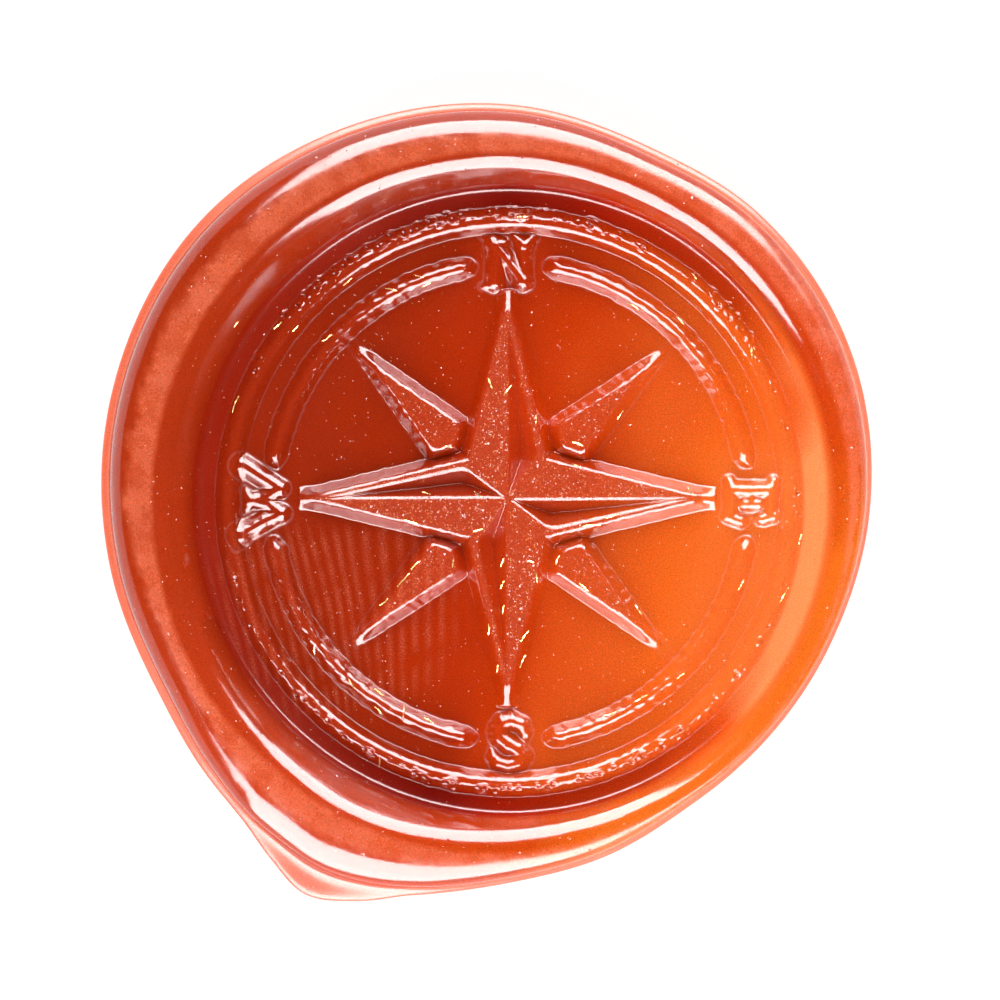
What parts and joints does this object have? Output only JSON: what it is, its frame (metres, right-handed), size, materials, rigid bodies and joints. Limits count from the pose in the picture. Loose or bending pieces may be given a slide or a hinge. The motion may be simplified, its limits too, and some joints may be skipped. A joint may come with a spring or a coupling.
{
  "type": "wax seal",
  "caption": "Loose sealing-wax seal: a flat-backed disc of red-orange wax with a raised bead round a sunk compass-rose impression, flecked with slivers of gold-coloured leaf.",
  "frame": {"origin": "middle of the round impression, on the flat back of the wax", "axes": "+Z out of the impressed face, +Y towards the letter N, +X towards the letter E"},
  "size_m": [0.0313, 0.0324, 0.0035],
  "materials": {
    "sealing_wax": "glossy translucent sealing wax with a fine mica shimmer",
    "gilt_leaf": "bright metal leaf"
  },
  "bodies": {
    "root": {"wax_body": "sealing_wax", "gilt_sliver_01": "gilt_leaf", "gilt_sliver_02": "gilt_leaf", "gilt_sliver_03": "gilt_leaf", "gilt_sliver_04": "gilt_leaf", "gilt_sliver_05": "gilt_leaf", "gilt_sliver_06": "gilt_leaf", "gilt_sliver_07": "gilt_leaf", "gilt_sliver_08": "gilt_leaf", "gilt_sliver_09": "gilt_leaf", "gilt_sliver_10": "gilt_leaf", "gilt_sliver_11": "gilt_leaf", "gilt_sliver_12": "gilt_leaf", "gilt_sliver_13": "gilt_leaf", "gilt_sliver_14": "gilt_leaf", "gilt_sliver_15": "gilt_leaf", "gilt_sliver_16": "gilt_leaf", "gilt_sliver_17": "gilt_leaf", "gilt_sliver_18": "gilt_leaf", "gilt_sliver_19": "gilt_leaf", "gilt_sliver_20": "gilt_leaf", "gilt_sliver_21": "gilt_leaf", "gilt_sliver_22": "gilt_leaf", "gilt_sliver_23": "gilt_leaf", "gilt_sliver_24": "gilt_leaf", "gilt_sliver_25": "gilt_leaf", "gilt_sliver_26": "gilt_leaf", "gilt_sliver_27": "gilt_leaf", "gilt_sliver_28": "gilt_leaf", "gilt_sliver_29": "gilt_leaf", "gilt_sliver_30": "gilt_leaf", "gilt_sliver_31": "gilt_leaf", "gilt_sliver_32": "gilt_leaf", "gilt_sliver_33": "gilt_leaf", "gilt_sliver_34": "gilt_leaf", "gilt_sliver_35": "gilt_leaf", "gilt_sliver_36": "gilt_leaf", "gilt_sliver_37": "gilt_leaf", "gilt_sliver_38": "gilt_leaf", "gilt_sliver_39": "gilt_leaf", "gilt_sliver_40": "gilt_leaf", "gilt_sliver_41": "gilt_leaf", "gilt_sliver_42": "gilt_leaf", "gilt_sliver_43": "gilt_leaf", "gilt_sliver_44": "gilt_leaf", "gilt_sliver_45": "gilt_leaf", "gilt_sliver_46": "gilt_leaf", "gilt_sliver_47": "gilt_leaf", "gilt_sliver_48": "gilt_leaf", "gilt_sliver_49": "gilt_leaf", "gilt_sliver_50": "gilt_leaf", "gilt_sliver_51": "gilt_leaf", "gilt_sliver_52": "gilt_leaf", "gilt_sliver_53": "gilt_leaf", "gilt_sliver_54": "gilt_leaf", "gilt_sliver_55": "gilt_leaf", "gilt_sliver_56": "gilt_leaf", "gilt_sliver_57": "gilt_leaf"}
  },
  "joints": []
}
